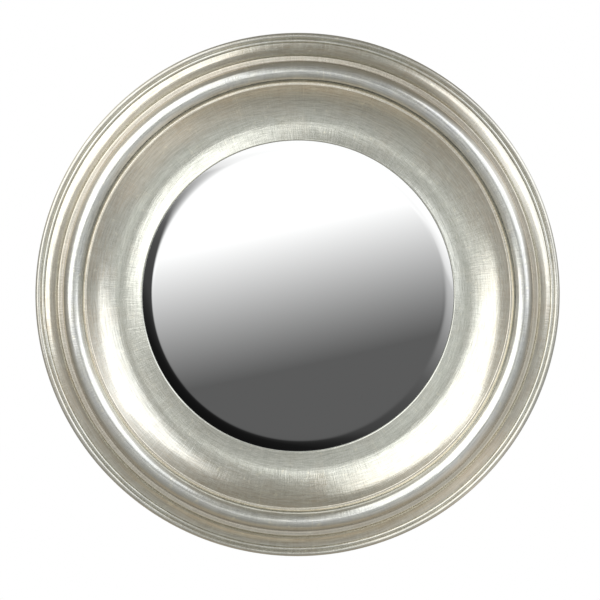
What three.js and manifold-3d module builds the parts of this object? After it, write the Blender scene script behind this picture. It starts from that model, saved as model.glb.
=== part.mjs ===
// Convex butlers mirror, 610 mm across: a turned and silver-leafed ring moulding, a convex glass
// with a bevelled rim, and the back ring, board, turn buttons and hangers that hold it together.
//
// Millimetres. +Z is up, the mirror faces -Y, and +X is on the right of someone in front of it.
// The origin is on the mirror's axis, in the plane of the frame's back face. In the sections, r is
// the distance from an axis along Y and h is the height forward of the back face, so y = -h.

import * as THREE from "three";
import { mergeVertices, toCreasedNormals } from "three/addons/utils/BufferGeometryUtils.js";
import Module from "manifold-3d";

// ---------------------------------------------------------------- driving dimensions

const FRAME_DIAMETER = 610;
const TURNING_FACETS = 64; // facets round the large turned pieces
const SMALL_FACETS = 10; // facets round screws and their holes

// Glass: a dome of one radius, with a flat bevel ground on its front along the rim.
const GLASS_DIAMETER = 381;
const GLASS_THICKNESS = 5;
const DOME_RADIUS = 912; // of the front surface
const BEVEL_WIDTH = 20;
const BEVEL_RIM = 1.5; // thickness that the bevel leaves at the rim

// How the glass and the board sit in the frame.
const SEAT_GAP = 0.3; // clear space between a piece and its seat
const SIGHT_LAP = 9; // how far the lip laps over the glass
const GLASS_SIDE_GAP = 1; // between the edge of the glass and the rebate's wall
const CUSHION_THICKNESS = 2; // at its inner edge, where it is thinnest
const CUSHION_WIDTH = 5;
const CUSHION_SETBACK = 1; // from the sight edge, so that it stays out of view
const SPACER_WIDTH = 7.5;
const BOARD_THICKNESS = 3;
const BOARD_LEDGE = 8.5; // width of the ledge that the board rests on
const BOARD_SIDE_GAP = 0.8;

// Back ring.
const BACK_RING_THICKNESS = 12;
const BACK_RING_INSET = 6; // from the moulding's outer edge
const BACK_RING_CHAMFER = 1.5;

// Moulding, from the sight edge outwards and then in from the outer edge.
const REBATE_IN_MOULDING = 3.3; // depth of the glass rebate above the back ring
const LIP_THICKNESS = 5.4;
const SIGHT_ARRIS_RADIUS = 1.5;
const TROUGH_SETBACK = 18.5; // from the sight edge to the lowest line of the scoop
const SIGHT_RISE = 1.3; // from the trough up to the sight edge
const SCOOP_DEPTH = 18.8; // from the trough up to the fillets
const SCOOP_EDGE_DROP = 0.5; // the scoop's top edge below the inner fillet
const INNER_FILLET_WIDTH = 2.8;
const QUIRK_WIDTH = 0.6;
const QUIRK_DEPTH = 0.9;
const BEAD_RADIUS = 12; // the big half-round bead
const OUTER_FILLET_WIDTH = 5.6;
const STEP_RISE = 1;
const STEP_WIDTH = 0.4;
const CAVETTO_RADIUS = 19.8;
const CAVETTO_TOP_TILT = 69; // degrees from facing straight forward
const CAVETTO_FOOT_TILT = 8;
const FOOT_STEP = 0.8; // from the foot of the cavetto down to the grooves
const INNER_EDGE_BEAD_WIDTH = 4.6;
const INNER_EDGE_BEAD_RADIUS = 2.4;
const OUTER_EDGE_BEAD_WIDTH = 6.7;
const OUTER_EDGE_BEAD_RADIUS = 3.5;

// Screws, all driven from behind.
const SCREW_TIP_LENGTH = 3;
const SCREW_TIP_RADIUS = 0.5;
const SCREW_HOLE_GAP = 0.3;
const CUTTER_OVERRUN = 1; // how far a hole's cutter starts behind the back face
const RING_SCREW_COUNT = 8;
const RING_SCREW_RADIUS = 2;
const RING_SCREW_HEAD_RADIUS = 4;
const RING_SCREW_BITE = 13; // length held in the moulding
const RING_SCREW_EDGE = 30; // from the moulding's outer edge to the screws' centres
const ROUND_SCREW_RADIUS = 1.75;
const ROUND_SCREW_HEAD_RADIUS = 3.6;
const ROUND_SCREW_HEAD_HEIGHT = 2;
const ROUND_SCREW_CROWN_RADIUS = 2.16; // flat middle of the head
const ROUND_SCREW_COVER = 1.5; // back ring left whole beyond the tip

// Turn buttons over the board's edge.
const BUTTON_COUNT = 6;
const BUTTON_THICKNESS = 1.2;
const BUTTON_GAP = 0.1; // play on each face
const BUTTON_LENGTH = 25; // from the screw's centre to the centre of the tip's rounding
const BUTTON_HEEL_RADIUS = 5.5;
const BUTTON_TIP_RADIUS = 3.5;
const BUTTON_SCREW_SETBACK = 12; // from the board's rebate to the screw's centre

// Hangers: a folded strap, and a D-ring in its eye.
const HANG_INSET = 4; // middle of a strap in from the side of the board's rebate
const HANG_HEIGHT = 120; // of the hinge axis above the mirror's axis
const STRAP_STEEL = 1.2;
const STRAP_WIDTH = 15;
const STRAP_LENGTH = 49; // below the hinge axis
const STRAP_TAIL_SHORTER = 1.5; // the folded-over layer ends this much sooner
const STRAP_SCREW_PITCH = 12;
const STRAP_SCREW_END = 7.5; // from the strap's end to the last screw's centre
const WIRE_RADIUS = 1.6;
const EYE_GAP = 0.4; // round the wire in the strap's eye
const RING_SIDE_GAP = 1.5; // between the strap's edge and the ring's arm
const RING_ARM = 9; // straight length of the arms
const RING_CORNER = 3;
const RING_LEAN_GAP = 0.5; // under the bow where it hangs in front of the strap

// Wall bumpers.
const BUMPER_RADIUS = 9.5;
const BUMPER_HEIGHT = 7;
const BUMPER_TAPER = 1.2;
const BUMPER_EDGE = 25; // from the moulding's outer edge to the bumpers' centres
const BUMPER_COUNT = 4;

// ---------------------------------------------------------------- sizes that follow

const frameRadius = FRAME_DIAMETER / 2;
const glassRadius = GLASS_DIAMETER / 2;
const sightRadius = glassRadius - SIGHT_LAP;
const rebateRadius = glassRadius + GLASS_SIDE_GAP;
const boardRebateRadius = rebateRadius + BOARD_LEDGE;
const lipBack = BACK_RING_THICKNESS + REBATE_IN_MOULDING;
const glass = placeGlass(lipBack - SEAT_GAP - CUSHION_THICKNESS - SEAT_GAP);
const hangX = boardRebateRadius - HANG_INSET; // half the distance between the D-rings
const eyeRadius = WIRE_RADIUS + EYE_GAP;
const hingeBehind = STRAP_STEEL + eyeRadius; // the D-ring's hinge axis behind the back face
const ringHalfWidth = STRAP_WIDTH / 2 + RING_SIDE_GAP + WIRE_RADIUS; // to the wire's centre line
const ringReach = RING_ARM + ringHalfWidth; // from the hinge axis to the bow's centre line
const ringLean = Math.asin(
  (2 * STRAP_STEEL + RING_LEAN_GAP + WIRE_RADIUS - hingeBehind) / ringReach,
);
const roundScrewDepth = BACK_RING_THICKNESS - ROUND_SCREW_COVER;

// ---------------------------------------------------------------- materials

function finish(color, roughness, metalness) {
  return new THREE.MeshStandardMaterial({ color, roughness, metalness });
}

const silverLeaf = finish(0xb9b6a6, 0.32, 1);
const mirrorGlass = finish(0xdfe3e4, 0.03, 1);
const blackBoard = finish(0x1c1b1a, 0.7, 0);
const feltGrey = finish(0x3b3a38, 0.95, 0);
const cardWhite = finish(0xbdb8ac, 0.9, 0);
const hardboard = finish(0x6a4a2e, 0.65, 0);
const zincSteel = finish(0xa7a9a6, 0.35, 1);
const blackSteel = finish(0x2a2a2b, 0.45, 1);
const greyRubber = finish(0x2c2d2e, 0.85, 0);

// ---------------------------------------------------------------- shapes

const wasm = await Module();
wasm.setup();

function at(r, h) {
  return new THREE.Vector2(r, h);
}

// Points of an arc in a section, with its angles in degrees from +r towards +h.
function arc(centre, radius, from, to, steps) {
  const points = [];
  for (let i = 0; i <= steps; i++) {
    const angle = THREE.MathUtils.degToRad(from + ((to - from) * i) / steps);
    points.push(at(centre.x + radius * Math.cos(angle), centre.y + radius * Math.sin(angle)));
  }
  return points;
}

// A curve that is level at its low point and rises to its end point as an arc of one radius.
function dish(low, end, steps) {
  const across = end.x - low.x;
  const up = end.y - low.y;
  const radius = (across * across + up * up) / (2 * up);
  const sweep = THREE.MathUtils.radToDeg(Math.asin(across / radius));
  return arc(at(low.x, low.y + radius), radius, -90, -90 + sweep, steps);
}

function withoutRepeats(points) {
  return points.filter((p, i) => i === 0 || p.distanceTo(points[i - 1]) > 1e-6);
}

// A turned piece about the Y axis. The outline runs anticlockwise in (r, h): from the axis to
// the axis, or all the way round a ring's section.
function turned(outline, facets = TURNING_FACETS) {
  const points = withoutRepeats(outline).map((p) => at(p.x, -p.y));
  const onAxis = points[0].x === 0;
  if (!onAxis) points.push(points[0].clone());
  return new THREE.LatheGeometry(points.reverse(), facets);
}

// A flat plate: its outline in (x, z), its thickness behind the plane y = from.
function plate(shape, from, thickness) {
  const geometry = new THREE.ExtrudeGeometry(shape, {
    depth: thickness,
    bevelEnabled: false,
    curveSegments: 6,
  });
  return geometry.rotateX(Math.PI / 2).translate(0, from + thickness, 0);
}

function toSolid(geometry) {
  const bare = geometry.clone();
  bare.deleteAttribute("normal");
  bare.deleteAttribute("uv");
  const merged = mergeVertices(bare, 1e-3);
  return new wasm.Manifold(
    new wasm.Mesh({
      numProp: 3,
      vertProperties: merged.attributes.position.array,
      triVerts: new Uint32Array(merged.index.array),
    }),
  );
}

function toGeometry(solid) {
  const mesh = solid.getMesh();
  return new THREE.BufferGeometry()
    .setAttribute("position", new THREE.BufferAttribute(mesh.vertProperties, 3))
    .setIndex(new THREE.BufferAttribute(mesh.triVerts, 1));
}

function cutAway(geometry, cutters) {
  let solid = toSolid(geometry);
  for (const cutter of cutters) solid = solid.subtract(toSolid(cutter));
  return toGeometry(solid);
}

// A point at a distance from the mirror's axis, its angle anticlockwise from +X as seen in front.
function polar(radius, angle) {
  return new THREE.Vector3(radius * Math.cos(angle), 0, radius * Math.sin(angle));
}

// ---------------------------------------------------------------- glass, cushion, spacer, board

// Puts the dome so that the bevel's height at the sight edge is the one given.
function placeGlass(heightAtSight) {
  const backRadius = DOME_RADIUS - GLASS_THICKNESS;
  const bevelStart = glassRadius - BEVEL_WIDTH;
  const frontAtBevel = Math.sqrt(DOME_RADIUS ** 2 - bevelStart ** 2);
  const frontAtRim = Math.sqrt(backRadius ** 2 - glassRadius ** 2) + BEVEL_RIM;
  const slope = (frontAtBevel - frontAtRim) / BEVEL_WIDTH;
  const centreHeight = heightAtSight - frontAtRim - slope * (glassRadius - sightRadius);
  return {
    centre: at(0, centreHeight),
    backRadius,
    bevelStart,
    bevelAt: (r) => centreHeight + frontAtRim + slope * (glassRadius - r),
    backAt: (r) => centreHeight + Math.sqrt(backRadius ** 2 - r ** 2),
  };
}

// The dome from the axis out to r, as an arc of a sphere about the glass's centre.
function domeArc(radius, r, steps) {
  const edge = THREE.MathUtils.radToDeg(Math.acos(r / radius));
  return arc(glass.centre, radius, 90, edge, steps).map((p, i) => (i === 0 ? at(0, p.y) : p));
}

function convexGlass() {
  const back = domeArc(glass.backRadius, glassRadius, 5);
  const front = domeArc(DOME_RADIUS, glass.bevelStart, 7);
  return turned([...back, at(glassRadius, glass.bevelAt(glassRadius)), ...front.reverse()]);
}

// A wedge of felt between the back of the lip and the glass's bevel.
function glassCushion() {
  const inner = sightRadius + CUSHION_SETBACK;
  const outer = inner + CUSHION_WIDTH;
  return turned([
    at(inner, glass.bevelAt(inner) + SEAT_GAP),
    at(outer, glass.bevelAt(outer) + SEAT_GAP),
    at(outer, lipBack - SEAT_GAP),
    at(inner, lipBack - SEAT_GAP),
  ]);
}

// Stands on the board and reaches the back of the glass along its rim.
function rimSpacer() {
  const inner = glassRadius - SPACER_WIDTH;
  return turned([
    at(inner, BOARD_THICKNESS),
    at(glassRadius, BOARD_THICKNESS),
    at(glassRadius, glass.backAt(glassRadius) - SEAT_GAP),
    at(inner, glass.backAt(inner) - SEAT_GAP),
  ]);
}

function backingBoard() {
  const radius = boardRebateRadius - BOARD_SIDE_GAP;
  return turned([at(0, 0), at(radius, 0), at(radius, BOARD_THICKNESS), at(0, BOARD_THICKNESS)]);
}

// ---------------------------------------------------------------- moulding and back ring

// The turned section: two edge beads, cavetto, fillet, big bead, fillet, scoop and sight edge.
function mouldingSection() {
  const sightTop = lipBack + LIP_THICKNESS;
  const trough = at(sightRadius + TROUGH_SETBACK, sightTop - SIGHT_RISE);
  const filletTop = trough.y + SCOOP_DEPTH;

  const outerGroove = frameRadius - OUTER_EDGE_BEAD_WIDTH;
  const innerGroove = outerGroove - INNER_EDGE_BEAD_WIDTH;
  const foot = THREE.MathUtils.degToRad(CAVETTO_FOOT_TILT);
  const top = THREE.MathUtils.degToRad(CAVETTO_TOP_TILT);
  const cavettoClimb = CAVETTO_RADIUS * (Math.cos(foot) - Math.cos(top));
  const footHeight = filletTop - STEP_RISE - cavettoClimb;
  const cavettoCentre = at(
    innerGroove + CAVETTO_RADIUS * Math.sin(foot),
    footHeight + CAVETTO_RADIUS * Math.cos(foot),
  );
  const cavettoTop = cavettoCentre.x - CAVETTO_RADIUS * Math.sin(top);
  const grooveHeight = footHeight - FOOT_STEP;

  const outerCosine = 1 - OUTER_EDGE_BEAD_WIDTH / OUTER_EDGE_BEAD_RADIUS;
  const outerEnd = THREE.MathUtils.radToDeg(Math.acos(outerCosine));
  const outerBeadCentre = at(
    frameRadius - OUTER_EDGE_BEAD_RADIUS,
    grooveHeight - OUTER_EDGE_BEAD_RADIUS * Math.sqrt(1 - outerCosine ** 2),
  );
  const innerCosine = INNER_EDGE_BEAD_WIDTH / 2 / INNER_EDGE_BEAD_RADIUS;
  const innerStart = THREE.MathUtils.radToDeg(Math.acos(innerCosine));
  const innerBeadCentre = at(
    outerGroove - INNER_EDGE_BEAD_WIDTH / 2,
    grooveHeight - INNER_EDGE_BEAD_RADIUS * Math.sqrt(1 - innerCosine ** 2),
  );

  const beadOuter = cavettoTop - STEP_WIDTH - OUTER_FILLET_WIDTH;
  const beadCentre = at(beadOuter - BEAD_RADIUS, filletTop);
  const quirk = beadCentre.x - BEAD_RADIUS;
  const innerFillet = quirk - QUIRK_WIDTH;
  const scoopTop = at(innerFillet - INNER_FILLET_WIDTH, filletTop - SCOOP_EDGE_DROP);
  const arrisCentre = at(sightRadius + SIGHT_ARRIS_RADIUS, sightTop - SIGHT_ARRIS_RADIUS);

  return [
    at(frameRadius, BACK_RING_THICKNESS),
    ...arc(outerBeadCentre, OUTER_EDGE_BEAD_RADIUS, 0, outerEnd, 4),
    ...arc(innerBeadCentre, INNER_EDGE_BEAD_RADIUS, innerStart, 180 - innerStart, 3),
    ...arc(cavettoCentre, CAVETTO_RADIUS, -90 - CAVETTO_FOOT_TILT, -90 - CAVETTO_TOP_TILT, 5),
    at(cavettoTop - STEP_WIDTH, filletTop),
    ...arc(beadCentre, BEAD_RADIUS, 0, 180, 9),
    at(quirk - QUIRK_WIDTH / 2, filletTop - QUIRK_DEPTH),
    at(innerFillet, filletTop),
    at(innerFillet - INNER_FILLET_WIDTH + SCOOP_EDGE_DROP, filletTop),
    ...dish(trough, scoopTop, 6).reverse(),
    ...dish(trough, at(arrisCentre.x, sightTop), 2),
    ...arc(arrisCentre, SIGHT_ARRIS_RADIUS, 90, 180, 2),
    at(sightRadius, lipBack),
    at(rebateRadius, lipBack),
    at(rebateRadius, BACK_RING_THICKNESS),
  ];
}

function frameMoulding() {
  return cutAway(turned(mouldingSection()), ringScrewPlaces.map((place) => ringScrewHole(place)));
}

function backRing() {
  const outer = frameRadius - BACK_RING_INSET;
  const blank = turned([
    at(boardRebateRadius, 0),
    at(outer - BACK_RING_CHAMFER, 0),
    at(outer, BACK_RING_CHAMFER),
    at(outer, BACK_RING_THICKNESS),
    at(rebateRadius, BACK_RING_THICKNESS),
    at(rebateRadius, BOARD_THICKNESS),
    at(boardRebateRadius, BOARD_THICKNESS),
  ]);
  return cutAway(blank, [
    ...ringScrewPlaces.map((place) => ringScrewHole(place)),
    ...buttonScrewPlaces.map((place) => roundScrewHole(place)),
    ...hangers.flatMap((hanger) => hanger.screws).map((place) => roundScrewHole(place)),
  ]);
}

// ---------------------------------------------------------------- screws

// A countersunk screw, its head flush with the back face. The gap grows it into its own hole.
function ringScrew(gap = 0) {
  const length = BACK_RING_THICKNESS + RING_SCREW_BITE + gap;
  const cone = RING_SCREW_HEAD_RADIUS - RING_SCREW_RADIUS;
  const mouth = gap > 0 ? -CUTTER_OVERRUN : 0;
  return turned(
    [
      at(0, mouth),
      at(RING_SCREW_HEAD_RADIUS + gap, mouth),
      at(RING_SCREW_HEAD_RADIUS + gap, gap),
      at(RING_SCREW_RADIUS + gap, cone + gap),
      at(RING_SCREW_RADIUS + gap, length - SCREW_TIP_LENGTH),
      at(SCREW_TIP_RADIUS + gap, length),
      at(0, length),
    ],
    SMALL_FACETS,
  );
}

function ringScrewHole(place) {
  return ringScrew(SCREW_HOLE_GAP).translate(place.x, place.y, place.z);
}

// A round-headed screw with the underside of its head the given distance behind the back face.
function roundScrew(headBehind) {
  const crown = ROUND_SCREW_HEAD_HEIGHT / 2;
  return turned(
    [
      at(0, -headBehind - ROUND_SCREW_HEAD_HEIGHT),
      at(ROUND_SCREW_CROWN_RADIUS, -headBehind - ROUND_SCREW_HEAD_HEIGHT),
      at(ROUND_SCREW_HEAD_RADIUS, -headBehind - crown),
      at(ROUND_SCREW_HEAD_RADIUS, -headBehind),
      at(ROUND_SCREW_RADIUS, -headBehind),
      at(ROUND_SCREW_RADIUS, roundScrewDepth - SCREW_TIP_LENGTH),
      at(SCREW_TIP_RADIUS, roundScrewDepth),
      at(0, roundScrewDepth),
    ],
    SMALL_FACETS,
  );
}

function roundScrewHole(place) {
  const radius = ROUND_SCREW_RADIUS + SCREW_HOLE_GAP;
  const mouth = -CUTTER_OVERRUN;
  const bottom = roundScrewDepth + SCREW_HOLE_GAP;
  const hole = [at(0, mouth), at(radius, mouth), at(radius, bottom), at(0, bottom)];
  return turned(hole, SMALL_FACETS).translate(place.x, place.y, place.z);
}

// ---------------------------------------------------------------- turn buttons

// A tapered steel button: a round heel about the screw at the origin, and its tip towards -X.
function turnButton() {
  const lean = Math.asin((BUTTON_HEEL_RADIUS - BUTTON_TIP_RADIUS) / BUTTON_LENGTH);
  const side = Math.PI / 2 + lean;
  const shape = new THREE.Shape();
  shape.absarc(0, 0, BUTTON_HEEL_RADIUS, -side, side, false);
  shape.absarc(-BUTTON_LENGTH, 0, BUTTON_TIP_RADIUS, side, 2 * Math.PI - side, false);
  const hole = new THREE.Path();
  hole.absarc(0, 0, ROUND_SCREW_RADIUS + SCREW_HOLE_GAP, 0, 2 * Math.PI, true);
  shape.holes.push(hole);
  return plate(shape, BUTTON_GAP, BUTTON_THICKNESS);
}

// ---------------------------------------------------------------- hangers

// The strap's steel from the side, in (z, y) about the hinge axis: two layers and a rolled eye.
function strapSide() {
  const outer = eyeRadius + STRAP_STEEL;
  const layers = 2 * STRAP_STEEL - hingeBehind; // where the folded-over layer's face lies
  const meet = Math.PI - Math.asin(layers / outer);
  const tail = STRAP_LENGTH - STRAP_TAIL_SHORTER;
  const shape = new THREE.Shape();
  shape.moveTo(-STRAP_LENGTH, -hingeBehind);
  shape.absarc(0, 0, outer, -Math.PI / 2, meet, false);
  shape.lineTo(-tail, layers);
  shape.lineTo(-tail, layers - STRAP_STEEL);
  shape.lineTo(-STRAP_LENGTH, layers - STRAP_STEEL);
  const eye = new THREE.Path();
  eye.absarc(0, 0, eyeRadius, 0, 2 * Math.PI, true);
  shape.holes.push(eye);
  return new THREE.ExtrudeGeometry(shape, {
    depth: STRAP_WIDTH,
    bevelEnabled: false,
    curveSegments: 8,
  })
    .rotateY(-Math.PI / 2)
    .translate(STRAP_WIDTH / 2, 0, 0);
}

// The strap about its hinge axis, with a round lower end and its two screw holes.
function hangerStrap() {
  const end = STRAP_WIDTH / 2;
  const outer = eyeRadius + STRAP_STEEL;
  const outline = new THREE.Shape();
  outline.absarc(0, end - STRAP_LENGTH, end, Math.PI, 2 * Math.PI, false);
  outline.lineTo(end, outer);
  outline.lineTo(-end, outer);
  const depth = 2 * outer;
  const blank = toSolid(strapSide()).intersect(toSolid(plate(outline, -hingeBehind, depth)));
  const hole = ROUND_SCREW_RADIUS + SCREW_HOLE_GAP;
  const drill = [at(0, -depth), at(hole, -depth), at(hole, depth), at(0, depth)];
  const drills = strapScrewDrops().map((drop) => turned(drill, SMALL_FACETS).translate(0, 0, -drop));
  return cutAway(toGeometry(blank), drills);
}

// How far below the hinge axis the strap's screws are.
function strapScrewDrops() {
  const last = STRAP_LENGTH - STRAP_SCREW_END;
  return [last - STRAP_SCREW_PITCH, last];
}

// The D-ring's centre line in (x, z) about the hinge axis: bar, arms and a half-round bow.
function ringLine() {
  const corner = at(ringHalfWidth - RING_CORNER, -RING_CORNER);
  const bow = at(0, -RING_ARM);
  return withoutRepeats([
    ...arc(at(-corner.x, corner.y), RING_CORNER, 180, 90, 3),
    ...arc(corner, RING_CORNER, 90, 0, 3),
    ...arc(bow, ringHalfWidth, 0, -180, 12),
  ]);
}

// A closed ring of round wire along a flat loop of points.
function wireRing(line, radius, sides) {
  const positions = [];
  const triangles = [];
  line.forEach((p, i) => {
    const before = line[(i + line.length - 1) % line.length];
    const after = line[(i + 1) % line.length];
    const across = after.clone().sub(before).normalize();
    for (let k = 0; k < sides; k++) {
      const angle = (2 * Math.PI * k) / sides;
      const out = radius * Math.cos(angle);
      positions.push(p.x - across.y * out, radius * Math.sin(angle), p.y + across.x * out);
    }
  });
  for (let i = 0; i < line.length; i++) {
    const next = (i + 1) % line.length;
    for (let k = 0; k < sides; k++) {
      const turn = (k + 1) % sides;
      const a = i * sides + k;
      const b = i * sides + turn;
      const c = next * sides + turn;
      const d = next * sides + k;
      triangles.push(a, c, b, a, d, c);
    }
  }
  return new THREE.BufferGeometry()
    .setAttribute("position", new THREE.Float32BufferAttribute(positions, 3))
    .setIndex(triangles);
}

// ---------------------------------------------------------------- bumpers

function wallBumper() {
  return turned(
    [
      at(0, -BUMPER_HEIGHT),
      at(BUMPER_RADIUS - BUMPER_TAPER, -BUMPER_HEIGHT),
      at(BUMPER_RADIUS, -BUMPER_TAPER),
      at(BUMPER_RADIUS, 0),
      at(0, 0),
    ],
    2 * SMALL_FACETS,
  );
}

// ---------------------------------------------------------------- places of what repeats

function around(count, radius, firstAngle) {
  return Array.from({ length: count }, (_, i) => polar(radius, firstAngle + (2 * Math.PI * i) / count));
}

const ringScrewPlaces = around(
  RING_SCREW_COUNT,
  frameRadius - RING_SCREW_EDGE,
  Math.PI / RING_SCREW_COUNT,
);
const buttonScrewPlaces = around(BUTTON_COUNT, boardRebateRadius + BUTTON_SCREW_SETBACK, 0);
const bumperPlaces = around(BUMPER_COUNT, frameRadius - BUMPER_EDGE, Math.PI / BUMPER_COUNT);
const hangers = ["left", "right"].map((side) => {
  const x = side === "left" ? -hangX : hangX;
  const screws = strapScrewDrops().map((drop) => new THREE.Vector3(x, 0, HANG_HEIGHT - drop));
  return { side, hinge: new THREE.Vector3(x, hingeBehind, HANG_HEIGHT), screws };
});

// ---------------------------------------------------------------- assembly

const CREASE = THREE.MathUtils.degToRad(35);

function piece(name, geometry, material) {
  const mesh = new THREE.Mesh(toCreasedNormals(geometry, CREASE), material);
  mesh.name = name;
  return mesh;
}

const mirror = new THREE.Group();
mirror.name = "convex_butlers_mirror";

mirror.add(piece("frame_moulding", frameMoulding(), silverLeaf));
mirror.add(piece("back_ring", backRing(), blackBoard));
mirror.add(piece("convex_glass", convexGlass(), mirrorGlass));
mirror.add(piece("glass_cushion", glassCushion(), feltGrey));
mirror.add(piece("rim_spacer", rimSpacer(), cardWhite));
mirror.add(piece("backing_board", backingBoard(), hardboard));

ringScrewPlaces.forEach((place, i) => {
  const screw = piece(`back_ring_screw_${i + 1}`, ringScrew(), blackSteel);
  screw.position.copy(place);
  mirror.add(screw);
});

buttonScrewPlaces.forEach((place, i) => {
  const holder = new THREE.Group();
  holder.position.copy(place);
  holder.rotation.y = -Math.atan2(place.z, place.x);
  holder.add(piece(`turn_button_${i + 1}`, turnButton(), zincSteel));
  const headBehind = BUTTON_THICKNESS + 2 * BUTTON_GAP;
  holder.add(piece(`turn_button_screw_${i + 1}`, roundScrew(headBehind), zincSteel));
  mirror.add(holder);
});

for (const { side, hinge, screws } of hangers) {
  const strap = piece(`hanger_strap_${side}`, hangerStrap(), zincSteel);
  strap.position.copy(hinge);
  mirror.add(strap);

  const ring = piece(`hanger_ring_${side}`, wireRing(ringLine(), WIRE_RADIUS, 8), zincSteel);
  ring.position.copy(hinge);
  ring.rotation.x = ringLean;
  mirror.add(ring);

  screws.forEach((place, i) => {
    const geometry = roundScrew(2 * STRAP_STEEL + BUTTON_GAP);
    const screw = piece(`hanger_screw_${side}_${i + 1}`, geometry, zincSteel);
    screw.position.copy(place);
    mirror.add(screw);
  });
}

bumperPlaces.forEach((place, i) => {
  const bumper = piece(`wall_bumper_${i + 1}`, wallBumper(), greyRubber);
  bumper.position.copy(place);
  mirror.add(bumper);
});

export default mirror;
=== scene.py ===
"""Convex butlers mirror: a turned and silver-leafed ring moulding round a bevelled convex glass,
with the back ring, board, turn buttons, hangers and bumpers behind it.

Metres, +Z up, the mirror faces -Y, the origin on its axis in the plane of the back face. In the
turned sections r is the distance from that axis and h the height forward of the back face, in mm.
"""

import math

import bpy
import numpy as np
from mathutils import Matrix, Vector


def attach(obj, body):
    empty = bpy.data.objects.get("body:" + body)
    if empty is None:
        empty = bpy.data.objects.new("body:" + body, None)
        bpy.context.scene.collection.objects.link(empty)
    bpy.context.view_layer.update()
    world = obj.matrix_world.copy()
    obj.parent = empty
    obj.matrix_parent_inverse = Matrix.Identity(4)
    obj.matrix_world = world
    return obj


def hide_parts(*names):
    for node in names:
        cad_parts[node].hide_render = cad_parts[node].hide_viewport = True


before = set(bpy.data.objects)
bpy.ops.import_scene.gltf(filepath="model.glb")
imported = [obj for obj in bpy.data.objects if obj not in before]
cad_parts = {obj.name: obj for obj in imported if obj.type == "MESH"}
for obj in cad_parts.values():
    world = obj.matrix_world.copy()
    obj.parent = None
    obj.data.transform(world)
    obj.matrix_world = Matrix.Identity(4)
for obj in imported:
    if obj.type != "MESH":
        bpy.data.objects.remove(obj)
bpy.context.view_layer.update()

MM = 0.001

# ---------------- sizes (mm, and degrees for angles)

FRAME_RADIUS = 305.0
GLASS_RADIUS = 190.5
SIGHT_RADIUS = 181.5
REBATE_RADIUS = 191.5
BOARD_REBATE_RADIUS = 200.0
BOARD_RADIUS = 199.2
BOARD_THICKNESS = 3.0
BACK_RING_THICKNESS = 12.0
BACK_RING_RADIUS = 299.0
BACK_RING_CHAMFER = 1.5
LIP_BACK = 15.3
SIGHT_TOP = 20.7
DOME_RADIUS = 912.0
DOME_BACK_RADIUS = 907.0
BEVEL_START = 170.5
BEVEL_AT_SIGHT = 12.7
BEVEL_BOW = 0.28  # how far the bevel's shown width bows out from the straight line

# The moulding's forms, from the outer edge in. A bead is given by its radius and its width.
OUTER_BEAD, OUTER_BEAD_WIDTH = 3.5, 6.7
INNER_BEAD, INNER_BEAD_WIDTH = 2.4, 4.6
CAVETTO, CAVETTO_FOOT, CAVETTO_TOP = 19.8, 8, 69
FILLET_TOP, FILLET_WIDTH, FILLET_SLANT = 38.2, 5.6, 0.4
BIG_BEAD, BIG_BEAD_RISE = 12.0, 0.9848
QUIRK_WIDTH, QUIRK_DEPTH = 0.6, 0.25
INNER_FILLET_WIDTH, INNER_FILLET_DROP = 2.3, 0.5
SCOOP_LOW = (200.0, 19.4)
SIGHT_ARRIS = 1.5

# The steel parts. The hinge is where the right D-ring's wire turns.
STEEL = 1.2
HINGE = (196.0, 3.2, 120.0)
SCREW_HOLE = 2.05
BUTTON_CIRCLE = 212.0
BUTTON_HEEL, BUTTON_TIP, BUTTON_LENGTH, BUTTON_BACK = 5.5, 3.5, 25.0, 0.1
STRAP_HALF_WIDTH, STRAP_LENGTH, STRAP_TAIL, STRAP_EYE, STRAP_BEND = 7.5, 49.0, 47.5, 2.6, 2.4
RING_HALF_WIDTH, RING_ARM, RING_CORNER, RING_WIRE = 10.6, 9.0, 3.0, 1.6

TURNS = 256  # facets round the large turned pieces


# ---------------- outlines

def arc(centre, radius, start, stop, steps):
    """Points of an arc, with its angles in degrees."""
    angles = np.radians(np.linspace(start, stop, steps + 1))
    return [(centre[0] + radius * math.cos(a), centre[1] + radius * math.sin(a)) for a in angles]


def dish(low, end, steps):
    """A curve that is level at its low point and rises to its end as an arc of one radius."""
    across, up = end[0] - low[0], end[1] - low[1]
    radius = (across**2 + up**2) / (2 * up)
    sweep = math.degrees(math.asin(across / radius))
    return arc((low[0], low[1] + radius), radius, -90, -90 + sweep, steps)


def without_repeats(points):
    kept = [points[0]]
    for point in points[1:]:
        if math.dist(point, kept[-1]) > 1e-4:
            kept.append(point)
    return kept


def bends(points, closed):
    """How far an outline turns at each point, in radians: positive where it is convex."""
    steps = np.diff(np.array(points[-1:] + points + points[:1]), axis=0)
    headings = np.arctan2(steps[:, 1], steps[:, 0])
    made = (np.diff(headings) + math.pi) % (2 * math.pi) - math.pi
    if not closed:
        made[[0, -1]] = 0
    return made


def eased(points, size, closed):
    """The outline with its corners rounded off over the size given."""
    made = []
    corners = np.array(points, float)
    for i, (point, bend) in enumerate(zip(corners, bends(points, closed))):
        if abs(bend) < math.radians(22):
            made.append(points[i])
            continue
        start, end = (point + (other - point) * min(size / math.dist(point, other), 0.4)
                      for other in (corners[i - 1], corners[(i + 1) % len(points)]))
        made += [tuple((1 - t) ** 2 * start + 2 * t * (1 - t) * point + t**2 * end)
                 for t in (0.0, 0.25, 0.5, 0.75, 1.0)]
    return made


def refined(points, longest):
    """The outline with points added, so that no step along it is longer than the length given."""
    made = []
    for a, b in zip(points, points[1:]):
        parts = max(1, math.ceil(math.dist(a, b) / longest))
        made += [(a[0] + (b[0] - a[0]) * k / parts, a[1] + (b[1] - a[1]) * k / parts)
                 for k in range(parts)]
    return made + [points[-1]]


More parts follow.
